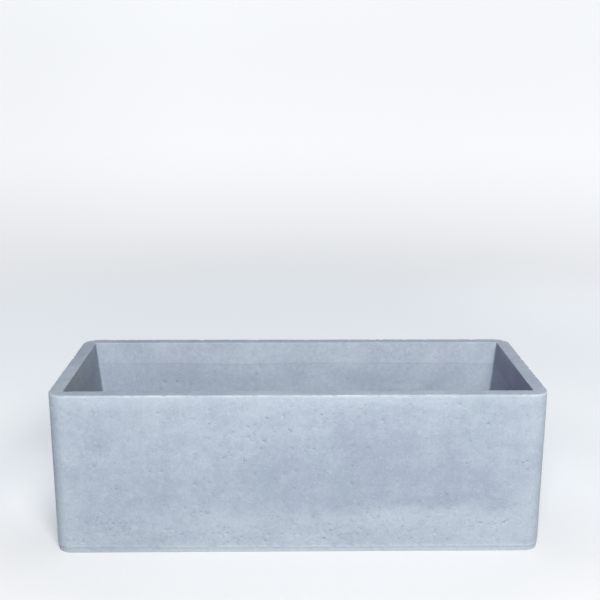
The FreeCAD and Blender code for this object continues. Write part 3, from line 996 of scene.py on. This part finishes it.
def concrete():
    m = Nodes("concrete_cast_blue_grey")
    tone_and_light = m.attr("tone_and_light")
    cloud = m.noise(6.5, 5.0, 0.55, distort=0.6)
    mottle = m.noise(24.0, 5.0, 0.6, m.mapping(loc=(3.1, 1.7, 0.4)))
    drag = m.noise(30.0, 4.0, 0.6, m.mapping(scale=(0.35, 0.35, 1.6), loc=(0.2, 5.0, 1.0)))
    drip = m.noise(38.0, 4.0, 0.6, m.mapping(scale=(1.5, 1.5, 0.22), loc=(7.2, 1.0, 3.0)))
    fleck = m.noise(95.0, 4.0, 0.65, m.mapping(loc=(1.2, 8.0, 6.0)))
    grain = m.noise(210.0, 3.0, 0.65)
    fine = m.noise(900.0, 2.0, 0.6)
    # one brightness value from all the scales, centred on 0
    v = m.math("MULTIPLY_ADD", cloud, 1.15, -0.575)
    # the tone and light attribute brings in the finish's clouds and the painted light and shade set on the walls
    v = m.math("MULTIPLY_ADD", tone_and_light, 0.42, v)
    v = m.math("ADD", v, m.math("MULTIPLY_ADD", mottle, 0.62, -0.31))
    v = m.math("ADD", v, m.math("MULTIPLY_ADD", drag, 0.36, -0.18))
    v = m.math("ADD", v, m.math("MULTIPLY_ADD", drip, 0.26, -0.13))
    v = m.math("ADD", v, m.math("MULTIPLY_ADD", fleck, 0.86, -0.43))
    ragged = m.ramp(v, ((-0.60, 0.0), (0.60, 1.0)))
    col = m.mix(ragged, (0.268, 0.317, 0.401, 1), (0.425, 0.485, 0.559, 1))
    # slow drift between a lilac and a green-grey cast
    hue = m.ramp(m.noise(9.0, 3.0, 0.5, m.mapping(loc=(9.0, 2.0, 5.0))), ((0.38, 0.0), (0.62, 1.0)))
    tint = m.mix(hue, (0.366, 0.392, 0.492, 1), (0.336, 0.402, 0.458, 1))
    col = m.mix(0.22, col, tint)
    # painted highlight along the arrises, and painted shade in the dark line under the low arris and in the chips
    arris_light_shade = m.attr("arris_light_shade")
    col = m.mix(m.math("MULTIPLY", m.ramp(arris_light_shade, ((0.0, 0.0), (1.0, 1.0))), 0.50), col, (0.60, 0.655, 0.705, 1))
    col = m.mix(m.math("MULTIPLY", m.ramp(arris_light_shade, ((-1.0, 1.0), (0.0, 0.0))), 0.40), col, (0.20, 0.24, 0.29, 1))
    # sand and cement grain
    gr = m.ramp(grain, ((0.30, 0.0), (0.70, 1.0)))
    n = m.t.nodes.new("ShaderNodeMix")
    n.data_type = "RGBA"
    n.blend_type = "MULTIPLY"
    m.put(n.inputs["Factor"], 0.9)
    m.put(n.inputs[6], col)
    m.put(n.inputs[7], m.mix(gr, (0.90, 0.90, 0.905, 1), (1.0, 1.0, 1.0, 1)))
    col = n.outputs[2]
    # pinholes too small to model: dark specks, painted shade inside them
    pin = m.ramp(m.voronoi(230.0), ((0.10, 1.0), (0.17, 0.0)))
    pin = m.math("MULTIPLY", pin, m.ramp(m.noise(34.0, 2.0, 0.5, m.mapping(loc=(4, 4, 4))), ((0.50, 0.0), (0.66, 1.0))))
    col = m.mix(m.math("MULTIPLY", pin, 0.42), col, (0.13, 0.155, 0.19, 1))
    # small holes gathered in drifts: dark dashes, painted shade inside them
    dash = m.ramp(m.voronoi(120.0, m.mapping(scale=(0.8, 0.8, 1.5), loc=(0.3, 0.3, 0.3))), ((0.12, 1.0), (0.22, 0.0)))
    drift = m.ramp(m.noise(17.0, 3.0, 0.6, m.mapping(loc=(6, 1, 9))), ((0.44, 0.0), (0.66, 1.0)))
    dash = m.math("MULTIPLY", dash, drift)
    col = m.mix(m.math("MULTIPLY", dash, 0.30), col, (0.15, 0.18, 0.22, 1))
    # small bubbles crowd where the skin is open: dark specks, painted shade inside them
    crowd = m.ramp(m.voronoi(112.0, m.mapping(scale=(0.82, 0.82, 1.35), loc=(8.1, 3.2, 2.7))), ((0.13, 1.0), (0.34, 0.0)))
    crowd = m.math("MULTIPLY", crowd, m.attr("open_skin"))
    col = m.mix(m.math("MULTIPLY", crowd, 0.26), col, (0.15, 0.18, 0.22, 1))
    # pale flecks of lime
    fl = m.ramp(m.voronoi(105.0, m.mapping(scale=(0.85, 0.85, 1.3), loc=(4.3, 2.3, 1.3))), ((0.10, 1.0), (0.24, 0.0)))
    fl = m.math("MULTIPLY", fl, m.ramp(m.noise(21.0, 3.0, 0.6, m.mapping(loc=(2, 9, 4))), ((0.42, 0.0), (0.64, 1.0))))
    col = m.mix(m.math("MULTIPLY", fl, 0.26), col, (0.60, 0.645, 0.69, 1))
    # darker inside the pits: dust, and painted shade in the hollows
    col = m.mix(m.math("MULTIPLY", m.attr("pit_dust_shade"), 0.26), col, (0.115, 0.14, 0.175, 1))
    # below the line round the inside the tone changes: darker on the long walls, floor and underside, lighter on the
    # right end and a little darker on the left end; partly the mould's duller skin, partly painted shade and light of
    # the hollow
    below = m.attr("below_line")
    col = m.mix(m.math("MULTIPLY", m.ramp(below, ((0.0, 0.0), (1.0, 1.0))), 0.20), col, (0.180, 0.228, 0.295, 1))
    col = m.mix(m.math("MULTIPLY", m.ramp(below, ((-1.0, 1.0), (0.0, 0.0))), 0.18), col, (0.48, 0.53, 0.66, 1))
    # painted shade on the inner ends, with a painted reflected tint: greyer at the left, bluer at the right
    end_shade_and_tint = m.attr("end_shade_and_tint")
    for lo, hi, dark in (((0.0, 0.0), (1.0, 1.0), (0.675, 0.665, 0.610, 1)), ((-1.0, 1.0), (0.0, 0.0), (0.605, 0.567, 0.690, 1))):
        f = m.ramp(end_shade_and_tint, (lo, hi))
        f.node.interpolation_type = "LINEAR"
        n = m.t.nodes.new("ShaderNodeMix")
        n.data_type = "RGBA"
        n.blend_type = "MULTIPLY"
        m.put(n.inputs["Factor"], f)
        m.put(n.inputs[6], col)
        n.inputs[7].default_value = dark
        col = n.outputs[2]
    m.put(m.bsdf.inputs["Base Color"], col)
    rough = m.ramp(m.math("ADD", m.math("MULTIPLY", mottle, 0.6), m.math("MULTIPLY", grain, 0.4)),
                   ((0.3, 0.70), (0.7, 0.90)))
    m.put(m.bsdf.inputs["Roughness"], rough)
    m.bsdf.inputs["Specular IOR Level"].default_value = 0.32
    h = m.math("ADD", m.math("MULTIPLY", grain, 0.7), m.math("MULTIPLY", fine, 0.3))
    h = m.math("SUBTRACT", h, m.math("MULTIPLY", pin, 0.9))
    h = m.math("SUBTRACT", h, m.math("MULTIPLY", dash, 0.9))
    h = m.math("SUBTRACT", h, m.math("MULTIPLY", crowd, 0.8))
    nrm = m.bump(h, 0.55, 0.0006)
    nrm = m.bump(mottle, 0.35, 0.0010, nrm)
    m.put(m.bsdf.inputs["Normal"], nrm)
    return m.mat


def rubber(name, dark, light, rough):
    m = Nodes(name)
    n1 = m.noise(60.0, 4.0, 0.6)
    n2 = m.noise(700.0, 3.0, 0.6)
    dust = m.ramp(m.math("ADD", m.math("MULTIPLY", n1, 0.7), m.math("MULTIPLY", n2, 0.3)), ((0.42, 0.0), (0.66, 1.0)))
    m.put(m.bsdf.inputs["Base Color"], m.mix(dust, dark, light))
    m.put(m.bsdf.inputs["Roughness"], m.ramp(n1, ((0.3, rough - 0.08), (0.7, rough + 0.08))))
    m.bsdf.inputs["Specular IOR Level"].default_value = 0.4
    m.put(m.bsdf.inputs["Normal"], m.bump(n2, 0.4, 0.0002))
    return m.mat


def pvc():
    m = Nodes("drain_sleeve_grey_pvc")
    n1 = m.noise(80.0, 4.0, 0.6)
    n2 = m.noise(420.0, 2.0, 0.5, m.mapping(scale=(1, 1, 0.2)))
    splash = m.ramp(m.noise(260.0, 4.0, 0.6, m.mapping(loc=(2, 2, 2))), ((0.50, 0.0), (0.78, 1.0)))
    col = m.mix(n1, (0.165, 0.174, 0.184, 1), (0.232, 0.242, 0.252, 1))
    # cement film left from casting
    col = m.mix(m.math("MULTIPLY", splash, 0.35), col, (0.34, 0.37, 0.41, 1))
    m.put(m.bsdf.inputs["Base Color"], col)
    m.put(m.bsdf.inputs["Roughness"], m.ramp(m.math("ADD", n2, m.math("MULTIPLY", splash, 0.6)), ((0.3, 0.36), (1.1, 0.8))))
    m.put(m.bsdf.inputs["Normal"], m.bump(n2, 0.25, 0.0002))
    return m.mat


# ------------------------------------------------------------- drain plugs, pads
def lathe(name, prof, cx, cy, seg, wobble=0.0, seed=0, angle=50):
    """Closed turned piece: prof is (radius, height) from the axis at the foot to
    the axis at the top."""
    g = np.random.default_rng(seed)
    prof = np.array(prof, float)
    a = np.arange(seg) / seg * 2 * math.pi
    verts = [(cx, cy, prof[0, 1])]
    for r, z in prof[1:-1]:
        w = 1 + wobble * np.sin(3 * a + g.uniform(0, 6)) * 0.5
        verts += list(zip(cx + r * w * np.cos(a), cy + r * w * np.sin(a), np.full(seg, z)))
    verts.append((cx, cy, prof[-1, 1]))
    n = len(prof) - 2
    f = []
    for i in range(seg):
        j = (i + 1) % seg
        f.append((0, 1 + j, 1 + i))
        for k in range(n - 1):
            p, q = 1 + k * seg, 1 + (k + 1) * seg
            f += [(p + i, p + j, q + j), (p + i, q + j, q + i)]
        last = 1 + (n - 1) * seg
        f.append((last + i, last + j, len(verts) - 1))
    return new_mesh(name, verts, f, angle)


def rounded(points, radii, steps=4):
    """A polyline's corners rounded: radii holds one value per point."""
    out = []
    p = [np.array(q, float) for q in points]
    for i, q in enumerate(p):
        r = radii[i] if i < len(radii) else 0
        if i in (0, len(p) - 1) or r <= 0:
            out.append(tuple(q))
            continue
        a, b = p[i - 1] - q, p[i + 1] - q
        la, lb = np.linalg.norm(a), np.linalg.norm(b)
        c = min(r, la * 0.45, lb * 0.45)
        s, e = q + a / la * c, q + b / lb * c
        for k in range(steps + 1):
            t = k / steps
            out.append(tuple((1 - t) ** 2 * s + 2 * t * (1 - t) * q + t * t * e))
    return out


def make_plugs(mat):
    for name in ("left", "centre", "right"):
        lo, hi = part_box("drain_plug_" + name)
        cx, cy = node_centre((lo, hi))
        z0, z1 = lo.z * 1000.0, hi.z * 1000.0
        head = z0 + 24.0
        t = head + 4.0
        R = (hi.x - lo.x) * 500.0
        pts = [(0, z0 + 0.02), (10.3, z0 + 0.02), (11.5, z0 + 1.2), (12.9, z0 + 7.0), (13.45, head - 15.0),
               (13.45, head - 12.2), (12.9, head - 10.6), (12.9, head - 7.0), (13.45, head - 5.4),
               (13.45, head - 2.7), (12.9, head - 1.2), (12.9, head + 0.02), (R - 0.7, head + 0.02), (R - 0.02, head + 0.8),
               (R - 0.02, t - 1.5), (R - 1.6, t - 0.05), (14.5, t - 0.05), (13.6, t - 0.7), (11.4, t - 0.7),
               (10.5, t - 0.05), (6.6, t + 0.5), (5.0, t + 2.0), (4.9, t + 5.0), (7.4, t + 6.0), (8.45, t + 7.4),
               (8.45, t + 10.2), (7.0, t + 12.6), (4.4, t + 13.8), (0, z1 - 0.02)]
        rad = [0, 0.5, 0.8, 2, 0.8, 0.8, 0.8, 1.2, 0.8, 0.8, 0.6, 0.2, 0.3, 0.5, 0.9, 0.9, 0.4, 0.4, 0.4, 0.4, 1.4,
               1.2, 1.4, 1.2, 1.0, 1.5, 1.6, 2.0, 0]
        ob = lathe("drain_plug_%s_rubber" % name, rounded(pts, rad, 3), cx, cy, 56, 0.004, len(name), 60)
        ob.data.materials.append(mat)
        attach(ob, "plug_" + name)
        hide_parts("drain_plug_" + name)


def make_pads(mat):
    for name, (lo, hi) in PADS.items():
        cx, cy = node_centre((lo, hi))
        z0, z1 = lo.z * 1000.0, hi.z * 1000.0
        R = (hi.x - lo.x) * 500.0
        pts = [(0, z0), (R - 9.0, z0), (R - 8.4, z0 + 0.35), (R - 7.2, z0 + 0.35), (R - 6.6, z0),
               (R - 0.6, z0), (R - 0.02, z0 + 0.6), (R - 0.02, z1 - 0.02), (0, z1 - 0.02)]
        ob = lathe("base_pad_%s_rubber" % name, rounded(pts, [0, .2, .2, .2, .2, .3, .3, .1, 0], 2),
                   cx, cy, 56, 0.0, 1, 50)
        ob.data.materials.append(mat)
        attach(ob, "trough")
        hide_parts("base_pad_" + name)


# ---------------------------------------------------------------------- studio
def studio():
    """Pale floor that sweeps up into a round backdrop, and soft light."""
    prof = [(0.0, 0.0), (0.6, 0.0), (1.2, 0.0), (2.0, 0.0), (2.7, 0.0)]
    for i in range(1, 13):
        a = i / 12 * math.pi / 2
        prof.append((2.7 + 1.6 * math.sin(a), 1.6 * (1 - math.cos(a))))
    prof += [(4.3, 2.0), (4.3, 2.5)]
    seg = 96
    verts, faces = [(0, 0, 0)], []
    for r, z in prof[1:]:
        verts += [(r * math.cos(2 * math.pi * i / seg), r * math.sin(2 * math.pi * i / seg), z) for i in range(seg)]
    for i in range(seg):
        j = (i + 1) % seg
        faces.append((0, 1 + i, 1 + j))
        for k in range(len(prof) - 2):
            p, q = 1 + k * seg, 1 + (k + 1) * seg
            faces.append((p + i, q + i, q + j, p + j))
    me = bpy.data.meshes.new("studio_sweep")
    me.from_pydata(verts, [], faces)
    for p in me.polygons:
        p.use_smooth = True
    me.update()
    ob = bpy.data.objects.new("studio_sweep", me)
    bpy.context.scene.collection.objects.link(ob)
    m = Nodes("studio_white")
    n = m.noise(1.2, 3.0, 0.5)
    m.put(m.bsdf.inputs["Base Color"], m.mix(n, (0.665, 0.675, 0.690, 1), (0.680, 0.69, 0.70, 1)))
    m.bsdf.inputs["Roughness"].default_value = 0.8
    m.bsdf.inputs["Specular IOR Level"].default_value = 0.15
    # the floor and backdrop glow, weakly near the trough and more further out, more towards the front, less high on the
    # wall and far to the left: painted light on the stage
    sep = m.t.nodes.new("ShaderNodeSeparateXYZ")
    m.t.links.new(m.coord, sep.inputs[0])
    m.bsdf.inputs["Emission Color"].default_value = (0.965, 0.98, 1.0, 1)
    length = m.t.nodes.new("ShaderNodeVectorMath")
    length.operation = "LENGTH"
    m.t.links.new(m.coord, length.inputs[0])
    up = m.ramp(length.outputs["Value"], ((0.50, 0.085), (1.05, 0.26)))
    far = m.ramp(length.outputs["Value"], ((1.0, 0.0), (2.2, 0.10)))
    wall = m.ramp(length.outputs["Value"], ((2.2, 0.0), (3.9, 0.23)))
    high = m.ramp(length.outputs["Value"], ((3.75, 0.0), (4.33, -0.055)))
    flank = m.ramp(sep.outputs["X"], ((-1.9, -0.055), (-0.5, 0.0)))
    flank = m.math("MULTIPLY", flank, m.ramp(length.outputs["Value"], ((2.6, 0.0), (3.5, 1.0))))
    for r in (up, far, wall, high):
        r.node.interpolation_type = "LINEAR"
    up = m.math("ADD", m.math("ADD", up, far), m.math("ADD", wall, m.math("ADD", high, flank)))
    side = m.ramp(sep.outputs["Y"], ((-3.0, 1.30), (3.0, 1.0)))
    total = m.math("MULTIPLY", up, side)

    def spot(cx, cy, rx, ry, k):
        v = m.t.nodes.new("ShaderNodeVectorMath")
        v.operation = "LENGTH"
        m.t.links.new(m.mapping(scale=(1 / rx, 1 / ry, 1), loc=(-cx / rx, -cy / ry, 0)), v.inputs[0])
        return m.ramp(v.outputs["Value"], ((0.1, k), (1.7, 0.0)))

    # glowing patches painted on the floor beside and behind the trough keep its shadow pale, one far out at the right
    # lifts the floor there, and a small one at the left darkens it: painted light and shade on the floor
    for args in ((-0.59, 0.17, 0.125, 0.20, 0.15), (0.62, 0.15, 0.15, 0.20, 0.05), (0.0, 0.62, 0.46, 0.34, 0.15),
                 (-0.74, 0.13, 0.09, 0.12, -0.05), (1.25, 1.9, 0.5, 0.6, 0.055)):
        total = m.math("ADD", total, spot(*args))
    m.put(m.bsdf.inputs["Emission Strength"], total)
    # a cooler light comes off the floor beside and behind it
    cool = m.t.nodes.new("ShaderNodeEmission")
    cool.inputs["Color"].default_value = (0.42, 0.66, 1.0, 1)
    near = m.ramp(length.outputs["Value"], ((2.0, 1.0), (3.2, 0.0)))
    m.put(cool.inputs["Strength"], m.math("MULTIPLY", m.ramp(sep.outputs["Y"], ((-0.35, 0.0), (0.20, 0.082))), near))
    both = m.t.nodes.new("ShaderNodeAddShader")
    m.t.links.new(m.bsdf.outputs[0], both.inputs[0])
    m.t.links.new(cool.outputs[0], both.inputs[1])
    m.t.links.new(both.outputs[0], m.out.inputs[0])
    me.materials.append(m.mat)
    # the light that the sweep would send back is in the world's light
    ob.visible_diffuse = False

    world = bpy.data.worlds.new("studio_world")
    bpy.context.scene.world = world
    world.use_nodes = True
    wt = world.node_tree
    bg = wt.nodes["Background"]
    bg.inputs["Color"].default_value = (0.90, 0.955, 1.0, 1)
    # soft light from all round: a little stronger off the pale floor than from above
    geo = wt.nodes.new("ShaderNodeTexCoord")
    sep = wt.nodes.new("ShaderNodeSeparateXYZ")
    mr = wt.nodes.new("ShaderNodeMapRange")
    mr.interpolation_type = "SMOOTHSTEP"
    for k, v in (("From Min", -0.12), ("From Max", 0.12), ("To Min", 1.0), ("To Max", 0.0)):
        mr.inputs[k].default_value = v
    wt.links.new(geo.outputs["Generated"], sep.inputs[0])
    wt.links.new(sep.outputs["Z"], mr.inputs["Value"])

    def wmath(op, a, b, c):
        n = wt.nodes.new("ShaderNodeMath")
        n.operation = op
        for i, x in enumerate((a, b, c)):
            if isinstance(x, bpy.types.NodeSocket):
                wt.links.new(x, n.inputs[i])
            else:
                n.inputs[i].default_value = x
        return n.outputs[0]

    # the floor sends back more on the lit side
    low = wmath("MULTIPLY_ADD", sep.outputs["X"], 0.24, 0.19)
    low = wmath("MULTIPLY_ADD", mr.outputs["Result"], low, 0.235)

    def wramp(sock, lo, hi, a, b):
        r = wt.nodes.new("ShaderNodeMapRange")
        r.interpolation_type = "SMOOTHSTEP"
        for k, v in (("From Min", lo), ("From Max", hi), ("To Min", a), ("To Max", b)):
            r.inputs[k].default_value = v
        wt.links.new(sock, r.inputs["Value"])
        return r.outputs["Result"]

    # and the backdrop lights the back and the ends from low down
    flat = wramp(wmath("ABSOLUTE", sep.outputs["Z"], 0.0, 0.0), 0.10, 0.42, 1.0, 0.0)
    beside = wramp(sep.outputs["X"], -0.45, -0.92, 0.0, 0.85)
    beside = wmath("ADD", beside, wramp(sep.outputs["X"], 0.50, 0.92, 0.0, 0.72), 0.0)
    # but not the front, which has the key
    beside = wmath("MULTIPLY", beside, wramp(sep.outputs["Y"], -0.30, 0.10, 0.0, 1.35), 0.0)
    beside = wmath("ADD", beside, wramp(sep.outputs["Y"], 0.15, 0.75, 0.0, 2.0), 0.0)
    wt.links.new(wmath("MULTIPLY_ADD", beside, flat, low), bg.inputs["Strength"])

    def area(name, loc, target, size, power, colour=(1, 1, 1)):
        d = bpy.data.lights.new(name, "AREA")
        d.shape = "RECTANGLE"
        d.size, d.size_y = size
        d.energy = power
        d.color = colour
        o = bpy.data.objects.new(name, d)
        bpy.context.scene.collection.objects.link(o)
        o.location = loc
        o.rotation_euler = (Vector(target) - Vector(loc)).to_track_quat("-Z", "Y").to_euler()
        o.visible_camera = False
        return o

    area("key_soft", (0.33, -3.10, 2.43), (0, 0, 0.25), (2.1, 1.5), 199.0, (1.0, 0.985, 0.965))


def camera():
    yaw, pitch, roll = 0.0161, 0.2451, -0.0028
    fwd = np.array([math.sin(yaw) * math.cos(pitch), math.cos(yaw) * math.cos(pitch), -math.sin(pitch)])
    right = np.array([math.cos(yaw), -math.sin(yaw), 0.0])
    down = np.cross(fwd, right)
    r2 = right * math.cos(roll) + down * math.sin(roll)
    d2 = -right * math.sin(roll) + down * math.cos(roll)
    cam = bpy.data.cameras.new("camera_front")
    cam.sensor_width = 36.0
    cam.lens = 929.078 * 36.0 / 600.0
    cam.clip_end = 60.0
    ob = bpy.data.objects.new("camera_front", cam)
    bpy.context.scene.collection.objects.link(ob)
    m = Matrix.Identity(4)
    for i in range(3):
        m[i][0], m[i][1], m[i][2] = float(r2[i]), float(-d2[i]), float(-fwd[i])
    m[0][3], m[1][3], m[2][3] = -0.026635, -1.92598, 0.968486
    ob.matrix_world = m
    bpy.context.scene.camera = ob


# ----------------------------------------------------------------------- build
shell = make_shell()
shell.data.materials.append(concrete())
plug_mat = rubber("plug_black_rubber", (0.027, 0.027, 0.030, 1), (0.078, 0.081, 0.087, 1), 0.50)
pad_mat = rubber("pad_dark_rubber", (0.020, 0.020, 0.021, 1), (0.050, 0.050, 0.052, 1), 0.75)
make_plugs(plug_mat)
make_pads(pad_mat)
pvc_mat = pvc()
for n in SLEEVES:
    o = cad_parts["drain_sleeve_" + n]
    if not o.material_slots:
        o.data.materials.append(pvc_mat)
    for s in o.material_slots:
        s.material = pvc_mat
studio()
camera()
bpy.context.scene.view_settings.view_transform = "Standard"
